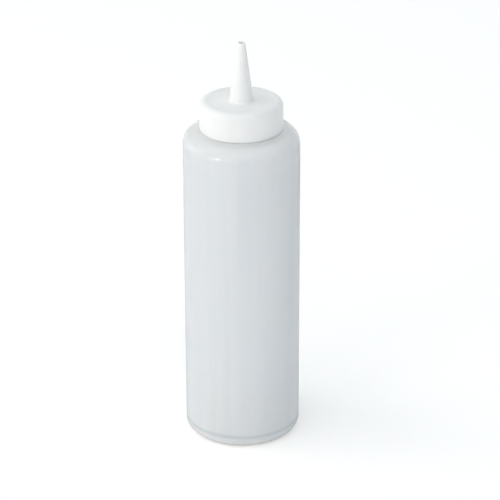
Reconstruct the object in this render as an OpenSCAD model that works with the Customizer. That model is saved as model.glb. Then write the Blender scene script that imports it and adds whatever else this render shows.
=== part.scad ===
// Squeeze sauce bottle with a screw-on spout cap.
// Millimetres. The origin is the centre of the base, on the surface it stands on, and +Z is up.

/* [Bottle body] */
// Outside diameter of the body
body_d = 57.15; // [52:0.05:62]
// Height at which the straight side ends and the shoulder starts
side_top = 153.4; // [90:0.1:180]
// Thickness of the squeezed side wall
side_wall = 0.9; // [0.6:0.1:1.4]
// Thickness of the shoulder wall
shoulder_wall = 1.1; // [0.8:0.1:1.6]
// Thickness of the base
base_wall = 1.3; // [0.9:0.1:2]
// Radius that rounds the base into the side
heel_r = 4.6; // [3:0.1:7]
// Radius that rounds the side into the shoulder
shoulder_r = 7.4; // [5:0.1:8]
// Slope of the shoulder from its rounding up to the neck, in degrees
shoulder_slope = 13.3; // [8:0.1:20]
// Width of the flat ring that the bottle stands on
foot_ring_w = 1.6; // [1:0.1:3]
// Height of the hollow under the base, where it leaves the ring's slope
hollow_h = 1.8; // [1.2:0.1:2.6]
// How much higher the hollow is at its centre
hollow_crown = 0.4; // [0.1:0.1:1]
// Width of the slope from the standing ring up into the hollow
hollow_slope_w = 3.4; // [2:0.1:5]

/* [Pinch weld under the base] */
// Length of the weld that the mould's pinch leaves across the hollow
weld_length = 30; // [16:1:30]
// Width of the weld
weld_w = 0.9; // [0.6:0.1:1.5]
// How far the weld hangs below the hollow's edge
weld_drop = 0.4; // [0.2:0.1:0.8]

/* [Neck] */
// Outside diameter of the neck between its threads
neck_d = 35; // [34.8:0.1:35.1]
// Bore of the neck
bore_d = 31; // [29.5:0.1:31.5]
// Height of the lip above the foot of the neck
neck_h = 11.3; // [10.8:0.1:13]
// Radius of the fillet at the foot of the neck
neck_foot_r = 0.5; // [0.3:0.1:0.6]
// Bevel on both edges of the lip
lip_bevel = 0.3; // [0.1:0.1:0.5]

/* [Thread] */
// Turns of thread in an inch of height
threads_per_inch = 6; // [6:1:8]
// Diameter over the neck's thread
neck_thread_d = 37.4; // [36.8:0.1:37.5]
// Diameter inside the cap's thread
cap_thread_d = 35.56; // [35.4:0.02:36]
// Length of the neck's thread in turns
neck_turns = 1.3; // [1:0.05:1.4]
// Length of the cap's thread in turns
cap_turns = 1.2; // [1:0.05:1.25]
// Width of a thread at its root, just inside the wall that carries it
thread_root_w = 2.3; // [1.9:0.1:2.3]
// Width of a thread at its crest
thread_crest_w = 1.1; // [0.8:0.1:1.2]
// Distance from the lip down to the middle of the neck thread's upper end
thread_drop = 2.2; // [2:0.1:2.6]
// Gap between the neck thread's lower flank and the cap thread's upper flank
flank_gap = 0.2; // [0.15:0.05:0.3]

/* [Cap] */
// Outside diameter of the cap at its bottom edge
cap_d = 40.7; // [40.4:0.1:41.6]
// Inside diameter of the cap between its threads
cap_inner_d = 38; // [37.9:0.1:38.2]
// Gap between the shoulder and the cap's bottom edge, which runs along it
cap_gap = 0.35; // [0.3:0.05:1.5]
// How much smaller the cap's radius is at the top than at the bottom
cap_draft = 0.15; // [0:0.05:0.25]
// Radius of the cap's rounded top edge
cap_edge_r = 2.9; // [2:0.1:3]
// Thickness of the top plate under the rolled rim
plate_t = 1.5; // [1.4:0.1:1.8]
// How far the middle of the top plate lies below the rolled rim
plate_sink = 0.25; // [0.1:0.05:0.4]
// Radius at which the sunk plate starts to rise into the rim
plate_flat_r = 14.9; // [12:0.1:15.4]

/* [Spout] */
// Height of the spout above the cap's rim
spout_h = 29.1; // [22:0.1:45]
// Outside diameter of the spout at its foot
spout_foot_d = 11.7; // [11.4:0.1:13]
// Inside diameter of the spout at its foot
spout_mouth_d = 9.2; // [8.4:0.1:9.4]
// Outside diameter of the spout at its tip
spout_tip_d = 4; // [3.8:0.1:5]
// Diameter of the hole in the tip
orifice_d = 2.5; // [2:0.1:2.6]
// Length of the straight hole in the tip
orifice_length = 4; // [3:0.5:5]
// Radius of the fillet round the spout's foot
spout_foot_r = 0.7; // [0.4:0.1:1]
// Radius that rounds the tip's outer edge
tip_edge_r = 0.35; // [0.2:0.05:0.4]

/* [Sealing washer] */
// Thickness of the washer
washer_t = 1; // [0.8:0.1:1.2]
// Outside diameter of the washer, wider than the cap's thread so that it stays in the cap
washer_d = 36.6; // [36.2:0.1:36.8]

/* [Hidden] */
$fn = 180;

natural_plastic = [0.86, 0.89, 0.91];
white_plastic = [0.97, 0.97, 0.95];
washer_foam = [0.9, 0.9, 0.86];

body_r = body_d / 2;
neck_r = neck_d / 2;
bore_r = bore_d / 2;
cap_r = cap_d / 2;
cap_inner_r = cap_inner_d / 2;
pitch = 25.4 / threads_per_inch;
arc_step = 5;
step_points = 8;

// The shoulder's rounding ends here, and its slope runs on to the neck
shoulder_turn = 90 - shoulder_slope;
shoulder_end_r = body_r - shoulder_r + shoulder_r * cos(shoulder_turn);
shoulder_end_z = side_top + shoulder_r * sin(shoulder_turn);
function shoulder_z(r) = shoulder_end_z + (shoulder_end_r - r) * tan(shoulder_slope);

lip_z = shoulder_z(neck_r) + neck_h;
plate_under_z = lip_z + washer_t;
rim_z = plate_under_z + plate_t;
plate_z = rim_z - plate_sink;
cap_bottom_z = shoulder_z(cap_r) + cap_gap;
tip_z = rim_z + spout_h;

// Both threads lie on helices of one pitch, so the cap climbs a pitch a turn without touching the neck's thread
thread_mid_w = (thread_root_w + thread_crest_w) / 2;
neck_thread_z = lip_z - thread_drop - neck_turns * pitch;
cap_thread_drop = thread_mid_w + flank_gap;
cap_thread_lift = 1.25;
cap_thread_z = cap_bottom_z + cap_thread_lift + thread_root_w / 2;
cap_thread_angle = 360 * (cap_thread_z - neck_thread_z + cap_thread_drop) / pitch;
thread_sink = 0.45;
thread_runout = 22;
thread_step = 7.5;

// Points along an arc about a centre, from one angle to another
function arc(centre, r, from, to) =
    let (count = max(1, ceil(abs(to - from) / arc_step)))
    [for (i = [0 : count])
        let (a = from + (to - from) * i / count)
        centre + r * [cos(a), sin(a)]];

// Points along a soft step between two points, level at both ends
function soft_step(start, end) =
    [for (i = [0 : step_points])
        let (t = i / step_points)
        [start.x + (end.x - start.x) * t, start.y + (end.y - start.y) * (1 - cos(180 * t)) / 2]];

// A helical rib on a wall of radius wall_r, with its crest at crest_r, inside or outside the wall.
// Its middle starts at angle 0 and height 0, and it runs out into the wall at both ends.
module thread_rib(wall_r, crest_r, turns) {
    sweep = turns * 360;
    count = ceil(sweep / thread_step);
    side = crest_r > wall_r ? 1 : -1;
    root_r = wall_r - side * thread_sink;
    low_r = wall_r - side * thread_sink / 2;
    points = [
        for (i = [0 : count])
            let (
                a = sweep * i / count,
                rise = min(1, a / thread_runout, (sweep - a) / thread_runout),
                top_r = low_r + (crest_r - low_r) * rise,
                z = pitch * a / 360,
                section = [
                    [root_r, z - thread_root_w / 2],
                    [root_r, z + thread_root_w / 2],
                    [top_r, z + thread_crest_w / 2],
                    [top_r, z - thread_crest_w / 2]
                ]
            )
            each [for (p = section) [p.x * cos(a), p.x * sin(a), p.y]]
    ];
    flanks = [
        for (i = [0 : count - 1], k = [0 : 3])
            let (
                a = 4 * i + k,
                b = 4 * i + (k + 1) % 4
            )
            each [[a, a + 4, b], [b, a + 4, b + 4]]
    ];
    last = 4 * count;
    ends = [[0, 1, 2], [0, 2, 3], [last, last + 2, last + 1], [last, last + 3, last + 2]];
    faces = concat(flanks, ends);
    polyhedron(points, side > 0 ? faces : [for (f = faces) [f.x, f.z, f.y]]);
}

// Half section of the bottle: under the base, up the outside, over the lip and down the inside
module bottle_section() {
    ring_outer = body_r - heel_r;
    ring_inner = ring_outer - foot_ring_w;
    hollow_r = ring_inner - hollow_slope_w;
    hollow_top = hollow_h + hollow_crown;
    foot_fillet = [neck_r + neck_foot_r, shoulder_z(neck_r + neck_foot_r) + neck_foot_r];
    shoulder_centre = [body_r - shoulder_r, side_top];
    polygon(concat(
        soft_step([0, hollow_top], [hollow_r, hollow_h]),
        soft_step([hollow_r, hollow_h], [ring_inner, 0]),
        arc([ring_outer, heel_r], heel_r, -90, 0),
        arc(shoulder_centre, shoulder_r, 0, shoulder_turn),
        arc(foot_fillet, neck_foot_r, -90, -180),
        [[neck_r, lip_z - lip_bevel], [neck_r - lip_bevel, lip_z]],
        [[bore_r + lip_bevel, lip_z], [bore_r, lip_z - lip_bevel]],
        [[bore_r, shoulder_z(bore_r) - shoulder_wall / cos(shoulder_slope)]],
        arc(shoulder_centre, shoulder_r - shoulder_wall, shoulder_turn, 0),
        arc([ring_outer, heel_r + base_wall - side_wall], heel_r - side_wall, 0, -90),
        soft_step([ring_inner, base_wall], [hollow_r, hollow_h + base_wall]),
        soft_step([hollow_r, hollow_h + base_wall], [0, hollow_top + base_wall])
    ));
}

// Weld left across the base where the mould pinched the plastic tube shut
module pinch_weld() {
    reach = weld_length / 2 - weld_w / 2;
    weld_h = weld_drop + hollow_crown + base_wall / 2;
    translate([0, 0, hollow_h - weld_drop]) {
        translate([-reach, -weld_w / 2, 0]) cube([2 * reach, weld_w, weld_h]);
        for (x = [-reach, reach])
            translate([x, 0, 0]) cylinder(h = weld_h, d = weld_w);
    }
}

module bottle() {
    color(natural_plastic) {
        rotate_extrude() bottle_section();
        pinch_weld();
        translate([0, 0, neck_thread_z]) thread_rib(neck_r, neck_thread_d / 2, neck_turns);
    }
}

// Half section of the cap and its spout: up the skirt, over the plate, up the cone and back down inside
module cap_section() {
    top_r = cap_r - cap_draft;
    edge_centre = [top_r - cap_edge_r, rim_z - cap_edge_r];
    spout_taper = atan((spout_foot_d - spout_tip_d) / 2 / spout_h);
    skirt_edge = 0.25;
    lead_in = 0.4;
    inner_fillet = 0.5;
    mouth_bevel = 0.5;
    inner_foot_r = cap_inner_r + lead_in;
    inner_foot_z = cap_bottom_z + (cap_r - skirt_edge - inner_foot_r) * tan(shoulder_slope);
    foot_tangent_z = plate_z + spout_foot_r * (1 - sin(spout_taper));
    foot_tangent_r = spout_foot_d / 2 - (foot_tangent_z - rim_z) * tan(spout_taper);
    foot_centre = [foot_tangent_r + spout_foot_r * cos(spout_taper), plate_z + spout_foot_r];
    tip_tangent_z = tip_z - tip_edge_r * (1 - sin(spout_taper));
    tip_tangent_r = spout_foot_d / 2 - (tip_tangent_z - rim_z) * tan(spout_taper);
    tip_centre = [tip_tangent_r - tip_edge_r * cos(spout_taper), tip_z - tip_edge_r];
    polygon(concat(
        [[cap_inner_r, inner_foot_z + lead_in], [inner_foot_r, inner_foot_z]],
        arc([cap_r - skirt_edge, cap_bottom_z + skirt_edge], skirt_edge, -90, 0),
        arc(edge_centre, cap_edge_r, 0, 90),
        soft_step([edge_centre.x, rim_z], [plate_flat_r, plate_z]),
        arc(foot_centre, spout_foot_r, -90, spout_taper - 180),
        arc(tip_centre, tip_edge_r, spout_taper, 90),
        [[orifice_d / 2, tip_z], [orifice_d / 2, tip_z - orifice_length]],
        [[spout_mouth_d / 2, plate_under_z + mouth_bevel], [spout_mouth_d / 2 + mouth_bevel, plate_under_z]],
        arc([cap_inner_r - inner_fillet, plate_under_z - inner_fillet], inner_fillet, 90, 0)
    ));
}

module spout_cap() {
    color(white_plastic) {
        rotate_extrude() cap_section();
        translate([0, 0, cap_thread_z])
            rotate([0, 0, cap_thread_angle]) thread_rib(cap_inner_r, cap_thread_d / 2, cap_turns);
    }
}

module sealing_washer() {
    color(washer_foam)
        translate([0, 0, lip_z])
            rotate_extrude()
                translate([bore_r, 0]) square([washer_d / 2 - bore_r, washer_t]);
}

bottle();
sealing_washer();
spout_cap();
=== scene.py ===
import math

import bmesh
import bpy
from mathutils import Matrix, Vector, noise


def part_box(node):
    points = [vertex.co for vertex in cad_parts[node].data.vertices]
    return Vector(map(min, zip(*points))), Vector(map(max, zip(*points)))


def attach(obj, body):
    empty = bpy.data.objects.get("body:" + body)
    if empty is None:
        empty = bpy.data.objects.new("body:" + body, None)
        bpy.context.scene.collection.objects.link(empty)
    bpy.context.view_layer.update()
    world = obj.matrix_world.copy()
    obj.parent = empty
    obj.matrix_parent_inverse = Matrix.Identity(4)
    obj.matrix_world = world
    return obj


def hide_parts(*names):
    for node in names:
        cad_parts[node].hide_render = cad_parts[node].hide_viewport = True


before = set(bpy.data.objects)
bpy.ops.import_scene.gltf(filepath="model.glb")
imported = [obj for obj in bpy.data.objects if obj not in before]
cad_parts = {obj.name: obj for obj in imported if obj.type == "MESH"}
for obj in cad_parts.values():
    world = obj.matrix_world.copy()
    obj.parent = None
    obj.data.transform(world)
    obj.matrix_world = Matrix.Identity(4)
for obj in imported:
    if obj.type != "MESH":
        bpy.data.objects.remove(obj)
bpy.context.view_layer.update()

mm = 0.001
scene = bpy.context.scene
scene.view_settings.view_transform = "Standard"

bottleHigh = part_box("bottle")[1]
capLow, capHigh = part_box("spout_cap")
washerLow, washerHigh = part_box("sealing_washer")


def fade(value, low, high):  # 0 at low, 1 at high, soft between them
    part = min(1, max(0, (value - low) / (high - low)))
    return part * part * (3 - 2 * part)


# Points of a half section, as pairs of radius and height in millimetres

def arcPoints(centre, radius, start, end, step=7):
    count = max(1, math.ceil(abs(end - start) / step))
    turns = [math.radians(start + (end - start) * i / count) for i in range(count + 1)]
    return [(centre[0] + radius * math.cos(t), centre[1] + radius * math.sin(t)) for t in turns]


def softStep(start, end, count=8):
    parts = [i / count for i in range(count + 1)]
    return [(start[0] + (end[0] - start[0]) * p,
             start[1] + (end[1] - start[1]) * (1 - math.cos(math.pi * p)) / 2) for p in parts]


def softCorner(before, corner, after, reach, count=4):
    corner = Vector(corner)
    start = corner + (Vector(before) - corner).normalized() * reach
    end = corner + (Vector(after) - corner).normalized() * reach
    parts = [i / count for i in range(count + 1)]
    return [tuple(start * (1 - p) ** 2 + corner * 2 * p * (1 - p) + end * p ** 2) for p in parts]


def filled(points, step):  # adds points, so that no run is longer than the step
    made = [points[0]]
    for start, end in zip(points, points[1:]):
        count = max(1, math.ceil(math.dist(start, end) / step - 1e-6))
        for i in range(1, count + 1):
            made.append((start[0] + (end[0] - start[0]) * i / count,
                         start[1] + (end[1] - start[1]) * i / count))
    return made


# Meshes spun about Z

def evenAngles(step):
    return [math.radians(step * i) for i in range(round(360 / step))]


def seamAngles(step, seamSteps):  # closer together at both ends of X, where the mould parts
    close = [math.radians(side + sign * s) for side in (0, 180) for sign in (-1, 1) for s in seamSteps]
    edge = math.radians(max(seamSteps) + step / 2)
    plain = [a for a in evenAngles(step) if abs(math.sin(a)) > math.sin(edge)]
    return sorted(a % (2 * math.pi) for a in [0, math.pi] + close + plain)


def addFace(bm, corners):
    corners = [v for i, v in enumerate(corners) if v not in corners[:i]]
    if len(corners) > 2:
        bm.faces.new(corners)


def joinRings(bm, lower, upper, count):
    for i in range(count):
        j = (i + 1) % count
        addFace(bm, [ring[k % len(ring)] for ring, k in ((lower, i), (lower, j), (upper, j), (upper, i))])


def spinRun(bm, points, angles, shape):  # returns the first ring and the last
    rings = []
    for radius, height in points:
        ring = []
        for angle in angles if radius > 1e-6 else angles[:1]:
            r, z = shape(radius, height, angle)
            ring.append(bm.verts.new((r * math.cos(angle) * mm, r * math.sin(angle) * mm, z * mm)))
        rings.append(ring)
    for lower, upper in zip(rings, rings[1:]):
        joinRings(bm, lower, upper, len(angles))
    return rings[0], rings[-1]


def threadedWall(bm, lowRing, highRing, angles, low, high, thread):
    rowsPerTurn = 26
    pitch, start = thread["pitch"], math.radians(thread["angle"])
    rowStep = pitch / rowsPerTurn
    snap = rowStep * 0.4  # a point nearer to an end than this is that end's own ring
    turn = 2 * math.pi

    def helix(angle):
        return thread["height"] + pitch * (angle - start) / turn

    def rib(angle, z):  # height of the thread above the wall
        along, off = min(((angle + turn * k - start, z - helix(angle + turn * k)) for k in (-1, 0, 1, 2)),
                         key=lambda pair: abs(pair[1]))
        runOut = math.radians(thread["runOut"])
        rise = min(1, along / runOut, (thread["turns"] * turn - along) / runOut)
        return max(0, rise) * thread["depth"] * fade(abs(off), thread["foot"], thread["crest"])

    first = math.floor((low - helix(turn)) / rowStep) - 1
    last = math.ceil((high - helix(0)) / rowStep) + 1
    columns = []
    for i, angle in enumerate(angles):
        column = {}
        for row in range(first, last + 1):
            z = helix(angle) + row * rowStep
            if z < low + snap:
                column[row] = lowRing[i]
            elif z > high - snap:
                column[row] = highRing[i]
            else:
                r = thread["wall"] + thread["side"] * rib(angle, z)
                column[row] = bm.verts.new((r * math.cos(angle) * mm, r * math.sin(angle) * mm, z * mm))
        columns.append(column)
    for i, column in enumerate(columns):
        beside = columns[(i + 1) % len(columns)]
        shift = rowsPerTurn if beside is columns[0] else 0  # a turn on, the helix is a turn's rows higher
        for row in range(first, last - shift):
            addFace(bm, [column[row], beside[row + shift], beside[row + shift + 1], column[row + 1]])


def finishMesh(bm, name, body, node, material):
    bmesh.ops.recalc_face_normals(bm, faces=bm.faces)
    mesh = bpy.data.meshes.new(name)
    bm.to_mesh(mesh)
    bm.free()
    mesh.shade_smooth()
    piece = bpy.data.objects.new(name, mesh)
    scene.collection.objects.link(piece)
    mesh.materials.append(material)
    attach(piece, body)
    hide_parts(node)
    print(name, len(mesh.polygons), "faces")
    return piece


def asIs(radius, height, angle):
    return radius, height


# Nodes

def addNode(tree, kind, values=None, **settings):
    node = tree.nodes.new("ShaderNode" + kind)
    for key, value in settings.items():
        setattr(node, key, value)
    for key, value in (values or {}).items():
        if isinstance(value, bpy.types.NodeSocket):
            tree.links.new(value, node.inputs[key])
        else:
            node.inputs[key].default_value = value
    return node


def mathNode(tree, operation, *values):
    return addNode(tree, "Math", dict(enumerate(values)), operation=operation).outputs[0]


def mixColour(tree, factor, a, b):
    return addNode(tree, "Mix", {0: factor, 6: a, 7: b}, data_type="RGBA").outputs[2]


def spread(tree, value, low, high, outLow=0.0, outHigh=1.0):
    return addNode(tree, "MapRange", {0: value, 1: low, 2: high, 3: outLow, 4: outHigh}).outputs[0]


def newGroup(name, inputs, outputs):
    tree = bpy.data.node_groups.new(name, "ShaderNodeTree")
    for label, value in inputs.items():
        kind = "NodeSocketVector" if value is None else "NodeSocketFloat"
        socket = tree.interface.new_socket(label, in_out="INPUT", socket_type=kind)
        if value is not None:
            socket.default_value = value
    for label in outputs:
        tree.interface.new_socket(label, in_out="OUTPUT", socket_type="NodeSocketFloat")
    return tree, tree.nodes.new("NodeGroupInput").outputs, tree.nodes.new("NodeGroupOutput").inputs


def useGroup(tree, group, values):
    return addNode(tree, "Group", values, node_tree=group).outputs


def mouldGrainGroup():  # the faint peel that a blasted mould leaves, over slow sink waves
    tree, given, made = newGroup("mould grain", {"Place": None, "Fineness": 2200.0, "Sink": 0.5},
                                 ["Height", "Tone"])
    peel = addNode(tree, "TexNoise", {"Vector": given["Place"], "Scale": given["Fineness"], "Detail": 3.0,
                                      "Roughness": 0.55})
    waves = addNode(tree, "TexNoise", {"Vector": given["Place"],
                                       "Scale": mathNode(tree, "MULTIPLY", given["Fineness"], 0.03),
                                       "Detail": 2.0})
    sunk = mathNode(tree, "MULTIPLY", waves.outputs[0], given["Sink"])
    kept = mathNode(tree, "SUBTRACT", 1.0, given["Sink"])
    tree.links.new(mathNode(tree, "MULTIPLY_ADD", peel.outputs[0], kept, sunk), made["Height"])
    tree.links.new(spread(tree, waves.outputs[0], 0.3, 0.7), made["Tone"])
    return tree


def drawnStreakGroup():  # long soft streaks along the way the plastic flowed
    tree, given, made = newGroup("drawn streaks", {"Place": None, "Across": 420.0, "Along": 14.0}, ["Mask"])
    scales = addNode(tree, "CombineXYZ", {0: given["Across"], 1: given["Across"], 2: given["Along"]})
    place = addNode(tree, "VectorMath", {0: given["Place"], 1: scales.outputs[0]}, operation="MULTIPLY")
    streaks = addNode(tree, "TexNoise", {"Vector": place.outputs[0], "Scale": 1.0, "Detail": 3.0,
                                         "Roughness": 0.6})
    tree.links.new(spread(tree, streaks.outputs[0], 0.36, 0.66), made["Mask"])
    return tree


def rubMarkGroup():  # short fine scratches that lie in patches
    tree, given, made = newGroup("rub marks", {"Place": None, "Fineness": 260.0, "Amount": 0.5}, ["Mask"])
    bend = addNode(tree, "TexNoise", {"Vector": given["Place"], "Scale": 90.0, "Detail": 1.0})
    shift = addNode(tree, "VectorMath", {0: bend.outputs[1], 3: 0.012}, operation="SCALE")
    bent = addNode(tree, "VectorMath", {0: given["Place"], 1: shift.outputs[0]}, operation="ADD")
    long = addNode(tree, "VectorMath", {0: bent.outputs[0], 1: (1.0, 1.0, 0.16)}, operation="MULTIPLY")
    cells = addNode(tree, "TexVoronoi", {"Vector": long.outputs[0], "Scale": given["Fineness"]},
                    feature="DISTANCE_TO_EDGE")
    lines = spread(tree, cells.outputs[0], 0.0, 0.035, 1.0, 0.0)
    patches = addNode(tree, "TexNoise", {"Vector": given["Place"], "Scale": 55.0, "Detail": 3.0})
    edge = mathNode(tree, "SUBTRACT", 0.75, mathNode(tree, "MULTIPLY", given["Amount"], 0.25))
    there = spread(tree, patches.outputs[0], edge, 0.78)
    tree.links.new(mathNode(tree, "MULTIPLY", lines, there), made["Mask"])
    return tree


grainGroup = mouldGrainGroup()
streakGroup = drawnStreakGroup()
rubGroup = rubMarkGroup()


def newMaterial(name):
    material = bpy.data.materials.new(name)
    material.use_nodes = True
    tree = material.node_tree
    tree.nodes.clear()
    place = addNode(tree, "TexCoord").outputs["Object"]
    return material, tree, place


def closeMaterial(tree, values, bumpHeight, bumpDepth):
    bump = addNode(tree, "Bump", {"Height": bumpHeight, "Distance": bumpDepth * mm, "Strength": 1.0})
    shader = addNode(tree, "BsdfPrincipled", {**values, "Normal": bump.outputs[0]})
    addNode(tree, "OutputMaterial", {"Surface": shader.outputs[0]})


def cloudiness(tree, grain, streaks, streakShare):  # part streaks, and for the rest the mould's grain
    plain = mathNode(tree, "MULTIPLY", grain["Tone"], 1 - streakShare)
    return mathNode(tree, "MULTIPLY_ADD", streaks["Mask"], streakShare, plain)


bottlePlastic = {
    "clear": (0.895, 0.93, 0.96, 1.0),
    "cloudy": (0.985, 0.995, 1.0, 1.0),
    "streakShare": 0.7,
    "thickAndLit": (1.0, 1.0, 1.0, 1.0),  # where the wall is thickest it is milkiest, and this lighter colour is also painted light on the shoulder and heel
    "thickAndLitEnds": ((155.5, 160), (3.8, 2.4)),  # heights from which and to which it thickens and is painted lighter, in mm
    "thickAndLitShare": 0.85,
    "innerCornerShade": (0.66, 0.71, 0.74, 1.0),  # painted shade: a darker line where the corner inside the base shows through the wall
    "cornerShadeHeight": 6.0,
    "cornerShadeWidth": (0.3, 1.4),  # full to the first distance, gone at the second
    "cornerShadeShare": 0.6,
    "roughness": 0.6,
    "rubbed": 0.12,  # how much rougher a rub mark is
    "transmission": 0.5,
    "subsurface": 0.3,
    "depth": 0.8,  # how far light wanders in the wall, in mm
    "skin": 0.9,  # gloss of the polished parts of the mould: the shoulder, the neck and the heel
    "skinRoughness": 0.09,
    "glossEnds": ((149, 155), (5, 1)),
    "streakRise": 0.35,
    "bump": 0.02,
}


def makeBottlePlastic(look):
    material, tree, place = newMaterial("milky polyethylene")
    grain = useGroup(tree, grainGroup, {"Place": place, "Fineness": 1500.0, "Sink": 0.75})
    streaks = useGroup(tree, streakGroup, {"Place": place, "Across": 300.0, "Along": 9.0})
    rubs = useGroup(tree, rubGroup, {"Place": place, "Fineness": 240.0, "Amount": 0.35})
    cloud = cloudiness(tree, grain, streaks, look["streakShare"])
    colour = mixColour(tree, cloud, look["clear"], look["cloudy"])
    high = addNode(tree, "SeparateXYZ", {0: place}).outputs["Z"]

    def ends(pairs):  # 1 at the shoulder and the heel, 0 between them
        return mathNode(tree, "MAXIMUM", *[spread(tree, high, low * mm, top * mm) for low, top in pairs])

    # partly the thicker, milkier wall and partly painted light: the shoulder and heel are coloured lighter
    milky = mathNode(tree, "MULTIPLY", ends(look["thickAndLitEnds"]), look["thickAndLitShare"])
    colour = mixColour(tree, milky, colour, look["thickAndLit"])
    # painted shade: a darker band round the bottle at the height of the corner inside the base
    off = mathNode(tree, "ABSOLUTE", mathNode(tree, "SUBTRACT", high, look["cornerShadeHeight"] * mm))
    near, far = look["cornerShadeWidth"]
    corner = spread(tree, off, near * mm, far * mm, look["cornerShadeShare"], 0.0)
    colour = mixColour(tree, corner, colour, look["innerCornerShade"])
    dull = mathNode(tree, "MULTIPLY_ADD", rubs["Mask"], look["rubbed"], look["roughness"])
    height = mathNode(tree, "MULTIPLY_ADD", streaks["Mask"], look["streakRise"], grain["Height"])
    polished = mathNode(tree, "MULTIPLY", ends(look["glossEnds"]), look["skin"])
    closeMaterial(tree, {
        "Base Color": colour,
        "Roughness": dull,
        "IOR": 1.51,
        "Transmission Weight": look["transmission"],
        "Subsurface Weight": look["subsurface"],
        "Subsurface Radius": (0.85, 0.95, 1.0),
        "Subsurface Scale": look["depth"] * mm,
        "Coat Weight": polished,
        "Coat Roughness": look["skinRoughness"],
    }, height, look["bump"])
    return material


capPlastic = {
    "shade": (0.86, 0.86, 0.846, 1.0),
    "light": (0.91, 0.909, 0.896, 1.0),
    "streakShare": 0.4,
    "roughness": 0.42,
    "rubbed": 0.1,
    "subsurface": 0.4,
    "depth": 2.4,
    "bump": 0.012,
}


def makeCapPlastic(look):
    material, tree, place = newMaterial("white polyethylene")
    grain = useGroup(tree, grainGroup, {"Place": place, "Fineness": 1900.0, "Sink": 0.6})
    streaks = useGroup(tree, streakGroup, {"Place": place, "Across": 240.0, "Along": 60.0})
    rubs = useGroup(tree, rubGroup, {"Place": place, "Fineness": 300.0, "Amount": 0.3})
    cloud = cloudiness(tree, grain, streaks, look["streakShare"])
    colour = mixColour(tree, cloud, look["shade"], look["light"])
    dull = mathNode(tree, "MULTIPLY_ADD", rubs["Mask"], look["rubbed"], look["roughness"])
    closeMaterial(tree, {
        "Base Color": colour,
        "Roughness": dull,
        "IOR": 1.51,
        "Subsurface Weight": look["subsurface"],
        "Subsurface Radius": (1.0, 0.95, 0.85),
        "Subsurface Scale": look["depth"] * mm,
    }, grain["Height"], look["bump"])
    return material


washerFoam = {
    "cell": (0.84, 0.83, 0.78, 1.0),
    "skin": (0.92, 0.915, 0.88, 1.0),
    "roughness": 0.75,
    "unevenness": 0.15,  # how much the roughness varies
    "cellSize": 0.35,  # in mm
    "bump": 0.03,
}


def makeWasherFoam(look):
    material, tree, place = newMaterial("closed cell foam")
    cells = addNode(tree, "TexVoronoi", {"Vector": place, "Scale": 1 / (look["cellSize"] * mm)})
    walls = spread(tree, cells.outputs["Distance"], 0.15, 0.65)
    grain = useGroup(tree, grainGroup, {"Place": place, "Fineness": 2600.0, "Sink": 0.4})
    colour = mixColour(tree, walls, look["skin"], look["cell"])
    dull = mathNode(tree, "MULTIPLY_ADD", grain["Height"], look["unevenness"], look["roughness"])
    height = mathNode(tree, "SUBTRACT", grain["Height"], walls)
    closeMaterial(tree, {"Base Color": colour, "Roughness": dull, "IOR": 1.49}, height, look["bump"])
    return material


# The bottle: one blow-moulded shell, from the hollow under its base to the lip and down inside

bottleShape = {
    "sideTop": 153.4,
    "sideWall": 0.9,
    "shoulderWall": 1.1,
    "baseWall": 1.3,
    "heelRadius": 4.6,
    "shoulderRadius": 7.4,
    "shoulderSlope": 13.3,
    "ringWidth": 1.6,
    "hollowHeight": 1.8,
    "hollowCrown": 0.4,
    "hollowSlope": 3.4,
    "neckRadius": 17.5,
    "boreRadius": 15.5,
    "neckFoot": 0.5,
    "lipRound": 0.3,
    "threadedNeck": (9.3, 0.55),  # from and to this far below the lip
    "seamHeight": 0.05,  # the parting line stands this far above the side
    "seamWidth": 0.22,
    "seamSteps": (0.2, 0.4, 0.65, 1.0, 1.5, 2.2, 3.2),  # degrees from it to the columns of points beside it
    "sink": 0.09,  # how far the side draws in as it cools
    "sinkWave": (24, 38),  # its waves' size across and along, in mm
    "sinkFades": ((0.6, 5), (11, 14)),  # no waves near the base and the lip
    "wallDrift": 0.12,  # how much the wall's thickness wanders
    "wallWave": (9, 46),
    "wallFades": ((3, 9), (12, 18)),
    "weldLength": 30,
    "weldWidth": 0.9,
    "weldDrop": 0.4,
    "weldRagged": 0.07,
    "weldFlank": (1.25, 0.5),  # the bead rises between these shares of its half width
    "weldTip": (0.3, -0.6),  # and between these distances past its end
    "angleStep": 2.5,
    "outerStep": 3,  # longest face along the outer section, in mm
    "innerStep": 4,
}
# A thread's side is 1 where it stands out of the wall and -1 where it stands inwards
neckThread = {"pitch": 25.4 / 6, "turns": 1.3, "depth": 1.2, "foot": 1.0, "crest": 0.52, "runOut": 22,
              "angle": 0, "side": 1, "drop": 2.2}


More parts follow.
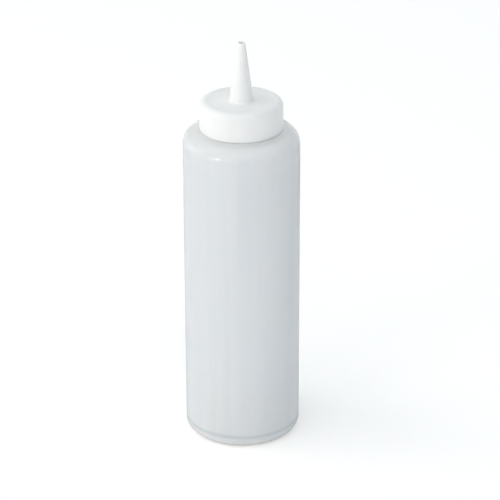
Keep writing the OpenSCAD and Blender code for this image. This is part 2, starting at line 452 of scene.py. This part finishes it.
def makeBottle(shape, thread, material):
    bodyRadius, lip = bottleHigh.x / mm, bottleHigh.z / mm
    slope = math.radians(shape["shoulderSlope"])
    turnEnd = 90 - shape["shoulderSlope"]
    neck, bore = shape["neckRadius"], shape["boreRadius"]
    shoulderCentre = (bodyRadius - shape["shoulderRadius"], shape["sideTop"])
    slopeFoot = arcPoints(shoulderCentre, shape["shoulderRadius"], 0, turnEnd)[-1]
    ringOuter = bodyRadius - shape["heelRadius"]
    ringInner = ringOuter - shape["ringWidth"]
    hollow = ringInner - shape["hollowSlope"]
    hollowTop = shape["hollowHeight"] + shape["hollowCrown"]
    weldEnd = shape["weldLength"] / 2
    weldZ = shape["hollowHeight"] - shape["weldDrop"]
    threadLow, threadHigh = (lip - below for below in shape["threadedNeck"])

    def slowNoise(x, y, height, size, shift):
        across, along = size
        return noise.noise(Vector((x / across, y / across, height / along)) + Vector(shift))

    def hold(height, fades):  # 1 along the side, 0 at both ends
        return fade(height, *fades[0]) * fade(lip - height, *fades[1])

    def shoulderZ(radius):
        return slopeFoot[1] + (slopeFoot[0] - radius) * math.tan(slope)

    def outside(radius, height, angle):
        x, y = radius * math.cos(angle), radius * math.sin(angle)
        if height < hollowTop + 0.01 and radius < hollow + 1:  # the weld hangs under the hollow
            ragged = shape["weldRagged"] * noise.noise(Vector((x * 0.9, y * 2, 3)))
            across = abs(y) / (shape["weldWidth"] / 2 + ragged)
            bead = fade(across, *shape["weldFlank"]) * fade(abs(x) - weldEnd, *shape["weldTip"])
            return radius, height - (height - weldZ - ragged) * bead
        seam = math.exp(-(y / shape["seamWidth"]) ** 2)
        drawn = shape["sink"] * (1 + slowNoise(x, y, height, shape["sinkWave"], (7, 3, 1))) / 2
        inward = drawn + shape["seamHeight"] * (1 - seam)
        return radius - inward * hold(height, shape["sinkFades"]), height

    def inside(radius, height, angle):
        x, y = radius * math.cos(angle), radius * math.sin(angle)
        drift = shape["wallDrift"] * slowNoise(x, y, height, shape["wallWave"], (1, 8, 5))
        return radius - (shape["sink"] + drift) * hold(height, shape["wallFades"]), height

    footRadius = neck + shape["neckFoot"]
    footCentre = (footRadius, shoulderZ(footRadius) + shape["neckFoot"])
    under = softStep((0, hollowTop), (hollow, shape["hollowHeight"]), count=22)
    under += softStep((hollow, shape["hollowHeight"]), (ringInner, 0), count=12)[1:]
    side = arcPoints((ringOuter, shape["heelRadius"]), shape["heelRadius"], -90, 0)
    side += arcPoints(shoulderCentre, shape["shoulderRadius"], 0, turnEnd)
    side += arcPoints(footCentre, shape["neckFoot"], -90, -180, step=15)
    outer = under + filled(side + [(neck, threadLow)], shape["outerStep"])

    lipRound = shape["lipRound"]
    innerRadius = shape["shoulderRadius"] - shape["shoulderWall"]
    boreFoot = (bore, shoulderZ(bore) - shape["shoulderWall"] / math.cos(slope))
    innerTurn = arcPoints(shoulderCentre, innerRadius, turnEnd, 0)
    heelCentre = (ringOuter, shape["heelRadius"] + shape["baseWall"] - shape["sideWall"])
    over = arcPoints((neck - lipRound, lip - lipRound), lipRound, 0, 90, step=22)
    over += arcPoints((bore + lipRound, lip - lipRound), lipRound, 90, 180, step=22)
    over += softCorner((bore, lip), boreFoot, innerTurn[0], reach=0.6)
    over += innerTurn
    over += arcPoints(heelCentre, shape["heelRadius"] - shape["sideWall"], 0, -90)
    top = softStep((ringInner, shape["baseWall"]), (hollow, shape["hollowHeight"] + shape["baseWall"]))
    top += softStep(top[-1], (0, hollowTop + shape["baseWall"]), count=10)[1:]
    inner = filled([(neck, threadHigh)] + over + top, shape["innerStep"])

    bm = bmesh.new()
    angles = seamAngles(shape["angleStep"], shape["seamSteps"])
    lowRing = spinRun(bm, outer, angles, outside)[1]
    highRing = spinRun(bm, inner, angles, inside)[0]
    thread = dict(thread, wall=neck, height=lip - thread["drop"] - thread["turns"] * thread["pitch"])
    threadedWall(bm, lowRing, highRing, angles, threadLow, threadHigh, thread)
    return finishMesh(bm, "bottle_shell", "bottle", "bottle", material)


# The cap: skirt, rolled rim, sunk plate and cone spout in one moulding

capShape = {
    "innerRadius": 19,
    "draft": 0.15,
    "edgeRadius": 2.9,
    "plate": 1.5,
    "plateSink": 0.25,
    "plateFlat": 14.9,  # from this radius the plate rises to the rim
    "skirtEdge": 0.25,
    "edgeDrop": 0.2,  # the real edge comes down until it almost touches the shoulder
    "leadIn": 0.4,
    "innerFillet": 0.5,
    "mouthBevel": 0.5,
    "footRadius": 5.85,
    "mouthRadius": 4.6,
    "tipRadius": 2,
    "holeRadius": 1.25,
    "holeLength": 4,
    "footFillet": 0.7,
    "tipRound": 0.35,
    "plainFoot": 0.1,  # plain wall above the lead-in
    "plainTop": 3,  # plain wall below the plate
    "angleStep": 2.5,
    "faceStep": 2.2,
}
# It starts this far (lift) above the bottom edge, and its helix lies this far (below) under the neck's
capThread = {"pitch": 25.4 / 6, "turns": 1.2, "depth": 1.22, "foot": 1.0, "crest": 0.52, "runOut": 22,
             "side": -1, "lift": 2.4, "below": 1.9}


def makeCap(shape, thread, neck, material):
    radius, tip = capHigh.x / mm, capHigh.z / mm
    bottom = capLow.z / mm - shape["edgeDrop"]
    under = washerHigh.z / mm
    rim = under + shape["plate"]
    plate = rim - shape["plateSink"]
    topRadius = radius - shape["draft"]
    inner = shape["innerRadius"]
    foot, tipRadius = shape["footRadius"], shape["tipRadius"]
    taper = math.atan((foot - tipRadius) / (tip - rim))
    leanDeg = math.degrees(taper)
    fillet, tipRound = shape["footFillet"], shape["tipRound"]
    hole, mouth = shape["holeRadius"], shape["mouthRadius"]

    def coneRadius(z):
        return foot - (z - rim) * math.tan(taper)

    footZ = plate + fillet * (1 - math.sin(taper))
    footCentre = (coneRadius(footZ) + fillet * math.cos(taper), plate + fillet)
    tipZ = tip - tipRound * (1 - math.sin(taper))
    tipCentre = (coneRadius(tipZ) - tipRound * math.cos(taper), tip - tipRound)
    edgeCentre = (topRadius - shape["edgeRadius"], rim - shape["edgeRadius"])
    slope = math.radians(bottleShape["shoulderSlope"])  # the bottom edge lies along the shoulder
    edge = shape["skirtEdge"]
    innerFoot = inner + shape["leadIn"]
    innerFootZ = bottom + (radius - edge - innerFoot) * math.tan(slope)
    innerTop = innerFootZ + shape["leadIn"]
    threadLow, threadHigh = innerTop + shape["plainFoot"], under - shape["plainTop"]
    fill = shape["innerFillet"]
    holeEnd = (hole, tip - shape["holeLength"])
    mouthRim, mouthTop = (mouth + shape["mouthBevel"], under), (mouth, under + shape["mouthBevel"])
    up = [(inner, threadHigh)]
    up += arcPoints((inner - fill, under - fill), fill, 0, 90, step=15)
    up += softCorner((inner, under), mouthRim, mouthTop, reach=0.25, count=3)
    up += softCorner(mouthRim, mouthTop, holeEnd, reach=0.25, count=3)
    up += softCorner(mouthTop, holeEnd, (hole, tip), reach=0.4)
    up += softCorner(holeEnd, (hole, tip), (tipRadius, tip), reach=0.1, count=3)
    down = arcPoints(tipCentre, tipRound, 90, leanDeg, step=12)
    down += arcPoints(footCentre, fillet, leanDeg - 180, -90, step=10)
    down += softStep((shape["plateFlat"], plate), (edgeCentre[0], rim))
    down += arcPoints(edgeCentre, shape["edgeRadius"], 90, 0)[1:]
    down += arcPoints((radius - edge, bottom + edge), edge, 0, -90, step=18)
    down += softCorner(down[-1], (innerFoot, innerFootZ), (inner, innerTop), reach=0.15, count=3)
    down += [(inner, threadLow)]

    bm = bmesh.new()
    angles = evenAngles(shape["angleStep"])
    highRing, lowRing = spinRun(bm, filled(up + down, shape["faceStep"]), angles, asIs)
    neckStart = bottleHigh.z / mm - neck["drop"] - neck["turns"] * neck["pitch"]
    height = bottom + thread["lift"]
    angle = 360 * (height - neckStart + thread["below"]) / thread["pitch"]
    thread = dict(thread, wall=inner, height=height, angle=angle)
    threadedWall(bm, lowRing, highRing, angles, threadLow, threadHigh, thread)
    return finishMesh(bm, "spout_cap_shell", "cap", "spout_cap", material)


# The washer between the lip and the plate

washerShape = {"edge": 0.18, "angleStep": 3, "faceStep": 0.8}


def makeWasher(shape, material):
    outer, bore = washerHigh.x / mm, bottleShape["boreRadius"]
    low, high, edge = washerLow.z / mm, washerHigh.z / mm, shape["edge"]
    corners = [(outer - edge, low + edge), (outer - edge, high - edge),
               (bore + edge, high - edge), (bore + edge, low + edge)]
    points = []
    for start, corner in zip((-90, 0, 90, 180), corners):
        points += arcPoints(corner, edge, start, start + 90, step=22)
    bm = bmesh.new()
    angles = evenAngles(shape["angleStep"])
    first, last = spinRun(bm, filled(points, shape["faceStep"]), angles, asIs)
    joinRings(bm, last, first, len(angles))
    return finishMesh(bm, "foam_washer", "washer", "sealing_washer", material)


# Camera, floor and lamps

viewpoint = {
    "place": (4.0, -1093.2, 609.7),
    "downTilt": 25.168,
    "roll": -0.137,
    "lens": 176.386,
    "sensor": 36,
    "clip": (0.05, 50),
}


def makeCamera(view):
    data = bpy.data.cameras.new("camera")
    data.sensor_width = view["sensor"]
    data.lens = view["lens"]
    data.clip_start, data.clip_end = view["clip"]
    camera = bpy.data.objects.new("camera", data)
    tilt = Matrix.Rotation(math.radians(90 - view["downTilt"]), 4, "X")
    roll = Matrix.Rotation(math.radians(view["roll"]), 4, "Z")
    camera.matrix_world = Matrix.Translation(Vector(view["place"]) * mm) @ tilt @ roll
    scene.collection.objects.link(camera)
    scene.camera = camera


studio = {
    "floorSize": 6.0,
    "floorColour": (0.99, 0.975, 0.96, 1.0),
    "floorGlow": 0.17,
    "ambientLeft": 0.80,  # the room is a little darker on the bottle's right
    "ambientRight": 0.63,
    "ambientColour": (0.90, 0.955, 1.0, 1.0),
}
# The lamps stand round the bottle: degrees left of the camera, above the floor, wide and tall, and watts
lamps = [
    {"name": "key panel", "left": 44, "up": 9, "wide": 17, "tall": 3.8, "power": 10.6},
    {"name": "front panel", "left": 0, "up": 46, "wide": 50, "tall": 34, "power": 9.0},
    {"name": "side panel", "left": 105, "up": 12, "wide": 28, "tall": 26, "power": 8.8},
    {"name": "high panel", "left": 85, "up": 60, "wide": 28, "tall": 26, "power": 6.2},
]
lampRing = {"distance": 2.5, "aim": (0, 0, 0.1), "colour": (1.0, 0.96, 0.90)}


def seenDirectly(tree):  # 1 where the camera, a reflection or glass looks, 0 for light on the object
    path = addNode(tree, "LightPath").outputs
    mirrored = mathNode(tree, "MAXIMUM", path["Is Camera Ray"], path["Is Glossy Ray"])
    return mathNode(tree, "MAXIMUM", mirrored, path["Is Transmission Ray"])


def makeFloor(look):
    bm = bmesh.new()
    bmesh.ops.create_grid(bm, x_segments=8, y_segments=8, size=look["floorSize"] / 2)
    mesh = bpy.data.meshes.new("floor")
    bm.to_mesh(mesh)
    bm.free()
    floor = bpy.data.objects.new("floor", mesh)
    scene.collection.objects.link(floor)
    material, tree = newMaterial("white table")[:2]
    glow = mathNode(tree, "MULTIPLY", seenDirectly(tree), look["floorGlow"])
    shader = addNode(tree, "BsdfPrincipled", {
        "Base Color": look["floorColour"],
        "Roughness": 0.9,
        "Specular IOR Level": 0.0,
        "Emission Color": (1, 1, 1, 1),
        "Emission Strength": glow,
    })
    addNode(tree, "OutputMaterial", {"Surface": shader.outputs[0]})
    mesh.materials.append(material)


def makeWorld(look):
    world = bpy.data.worlds.new("studio")
    world.use_nodes = True
    tree = world.node_tree
    tree.nodes.clear()
    seen = seenDirectly(tree)
    aside = addNode(tree, "SeparateXYZ", {0: addNode(tree, "TexCoord").outputs["Generated"]}).outputs["X"]
    ambient = spread(tree, aside, -1.0, 1.0, look["ambientLeft"], look["ambientRight"])
    strength = spread(tree, seen, 0.0, 1.0, ambient, 1.0)
    colour = mixColour(tree, seen, look["ambientColour"], (1, 1, 1, 1))
    sky = addNode(tree, "Background", {"Color": colour, "Strength": strength})
    addNode(tree, "OutputWorld", {"Surface": sky.outputs[0]})
    scene.world = world


def makeLamp(lamp, ring):
    data = bpy.data.lights.new(lamp["name"], "AREA")
    data.shape = "RECTANGLE"
    halves = [math.radians(lamp[side] / 2) for side in ("wide", "tall")]
    data.size, data.size_y = (2 * ring["distance"] * math.tan(half) for half in halves)
    data.energy = lamp["power"]
    data.color = ring["colour"]
    light = bpy.data.objects.new(lamp["name"], data)
    left, up = math.radians(lamp["left"]), math.radians(lamp["up"])
    away = Vector((-math.sin(left) * math.cos(up), -math.cos(left) * math.cos(up), math.sin(up)))
    place = Vector(ring["aim"]) + away * ring["distance"]
    light.matrix_world = Matrix.Translation(place) @ away.to_track_quat("Z", "Y").to_matrix().to_4x4()
    light.visible_camera = False
    scene.collection.objects.link(light)


makeCamera(viewpoint)
makeFloor(studio)
makeWorld(studio)
for lamp in lamps:
    makeLamp(lamp, lampRing)
print("camera, floor and lamps are set")
makeBottle(bottleShape, neckThread, makeBottlePlastic(bottlePlastic))
makeCap(capShape, capThread, neckThread, makeCapPlastic(capPlastic))
makeWasher(washerShape, makeWasherFoam(washerFoam))
print("bottle, cap and washer are made")
